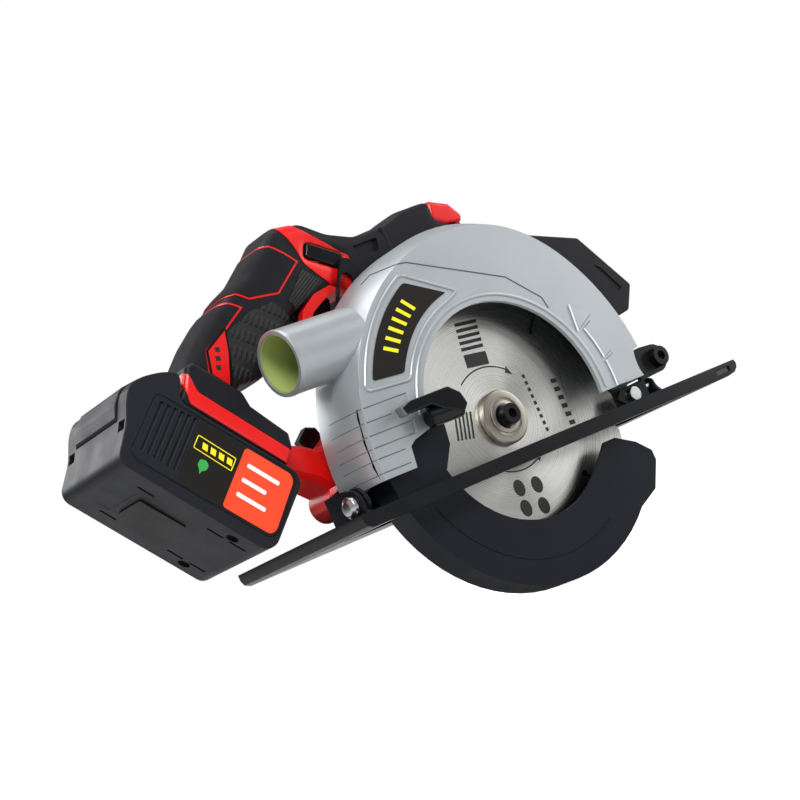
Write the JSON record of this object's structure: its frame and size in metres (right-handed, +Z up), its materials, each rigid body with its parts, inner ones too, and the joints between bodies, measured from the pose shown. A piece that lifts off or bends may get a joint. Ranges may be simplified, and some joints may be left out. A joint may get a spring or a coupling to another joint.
{
  "type": "circular saw",
  "caption": "Cordless circular saw with a cast upper guard, swinging lower guard, dust port, tilting and depth-adjusting steel shoe, looped handle and slide-on battery pack.",
  "frame": {"origin": "on the sole's lower face, below the blade spindle and on the handle's plane", "axes": "+X is the cutting direction, +Y points from the blade to the motor, +Z is up from the sole"},
  "size_m": [0.3978, 0.1453, 0.2445],
  "materials": {
    "silver_casting": "satin silver paint on a fine sand-cast surface",
    "black_steel": "semi-gloss black paint on pressed steel",
    "bright_steel": "brushed or turned bright steel",
    "guard_black": "satin blue-black paint",
    "black_plastic": "fine-grained moulded nylon",
    "grip_rubber": "soft overmould, matt",
    "red_plastic": "satin moulded plastic",
    "battery_cell": "shrink sleeve over steel",
    "copper": "copper and carbon",
    "terminal": "moulded terminal holder",
    "label": "printed label film"
  },
  "bodies": {
    "base": {"base_plate": "black_steel", "tilt_quadrant": "black_steel", "rear_hinge_plate": "black_steel", "base_bolt_front_near": "bright_steel", "base_bolt_front_far": "bright_steel", "base_bolt_rear_near": "bright_steel", "base_bolt_rear_far": "bright_steel"},
    "tilt_carriage": {"tilt_bracket": "black_steel", "depth_quadrant": "black_steel", "tilt_pin_front": "bright_steel", "tilt_pin_rear": "bright_steel", "tilt_clamp_bolt": "bright_steel", "bracket_rivet": "bright_steel", "depth_pivot_bolt": "black_steel", "depth_pivot_nut": "bright_steel"},
    "tilt_lever": {"tilt_lever": "black_plastic"},
    "saw_head": {"upper_guard": "silver_casting", "guard_label": "label", "guard_bumper": "grip_rubber", "gearbox_housing": "silver_casting", "spindle_bearing_front": "bright_steel", "spindle_bearing_rear": "bright_steel", "bearing_plate": "silver_casting", "guard_return_spring": "bright_steel", "motor_housing": "red_plastic", "motor_end_cap": "black_plastic", "stator": "bright_steel", "motor_bearing_front": "bright_steel", "motor_bearing_rear": "bright_steel", "brush_upper": "copper", "brush_lower": "copper", "depth_clamp_bolt": "bright_steel", "handle_shell_near": "grip_rubber", "handle_shell_far": "grip_rubber", "front_handle_cap": "red_plastic", "handle_screw_1": "black_steel", "handle_screw_2": "black_steel", "handle_screw_3": "black_steel", "switch_module": "black_plastic", "battery_foot": "black_plastic", "terminal_block": "terminal"},
    "depth_lever": {"depth_lever": "black_plastic"},
    "arbor": {"spindle": "bright_steel", "drive_gear": "bright_steel", "inner_flange": "bright_steel", "saw_blade": "bright_steel", "outer_flange": "bright_steel", "blade_bolt": "black_steel"},
    "rotor": {"rotor_shaft": "bright_steel", "rotor_core": "copper", "commutator": "copper", "cooling_fan": "black_plastic"},
    "lower_guard": {"lower_guard": "guard_black", "guard_lever": "black_plastic"},
    "spindle_lock": {"spindle_lock_button": "black_plastic"},
    "trigger": {"trigger": "black_plastic"},
    "lock_off": {"lock_off_button": "black_plastic"},
    "battery": {"battery_case": "black_plastic", "battery_cells": "battery_cell"},
    "battery_latch": {"battery_latch": "black_plastic"}
  },
  "joints": [
    {"name": "bevel_tilt", "type": "hinge", "parent": "base", "child": "tilt_carriage", "pos_m": [0, -0.044, 0.014], "axis": [1, 0, 0], "range_deg": [0, 45]},
    {"name": "tilt_lever_turn", "type": "hinge", "parent": "tilt_carriage", "child": "tilt_lever", "pos_m": [0.118, 0.00097, 0.01557], "axis": [1, 0, 0], "range_deg": [0, 60]},
    {"name": "depth_pivot", "type": "hinge", "parent": "tilt_carriage", "child": "saw_head", "pos_m": [0.1198, -0.033, 0.0272], "axis": [0, 1, 0], "range_deg": [0, 29]},
    {"name": "depth_lever_turn", "type": "hinge", "parent": "saw_head", "child": "depth_lever", "pos_m": [-0.07472, 0.019, 0.0408], "axis": [0, 1, 0], "range_deg": [0, 50]},
    {"name": "blade_spin", "type": "hinge", "parent": "saw_head", "child": "arbor", "pos_m": [0, -0.04, 0.0285], "axis": [0, 1, 0], "continuous": true},
    {"name": "rotor_spin", "type": "hinge", "parent": "saw_head", "child": "rotor", "pos_m": [0.006, 0.02, 0.06], "axis": [0, 1, 0], "continuous": true},
    {"name": "lower_guard_swing", "type": "hinge", "parent": "saw_head", "child": "lower_guard", "pos_m": [0, -0.032, 0.0285], "axis": [0, 1, 0], "range_deg": [0, 115], "stiffness_Nm_per_rad": 0.12, "springref_deg": -45.84},
    {"name": "spindle_lock_press", "type": "slide", "parent": "saw_head", "child": "spindle_lock", "axis": [-1, 0, 0], "range_m": [0, 0.003], "stiffness_N_per_m": 900, "springref_m": -0.002},
    {"name": "trigger_pull", "type": "slide", "parent": "saw_head", "child": "trigger", "axis": [-0.1736, 0, 0.9848], "range_m": [0, 0.005], "stiffness_N_per_m": 900, "springref_m": -0.003},
    {"name": "lock_off_press", "type": "slide", "parent": "saw_head", "child": "lock_off", "axis": [0, 1, 0], "range_m": [0, 0.0025], "stiffness_N_per_m": 700, "springref_m": -0.002},
    {"name": "battery_slide", "type": "slide", "parent": "saw_head", "child": "battery", "axis": [-0.6606, 0, 0.7507], "range_m": [0, 0.11]},
    {"name": "battery_latch_press", "type": "slide", "parent": "battery", "child": "battery_latch", "axis": [0.6606, 0, -0.7507], "range_m": [0, 0.002], "stiffness_N_per_m": 900, "springref_m": -0.002}
  ],
  "couplings": [
    {"joint": "rotor_spin", "follows": "blade_spin", "ratio": -2}
  ]
}
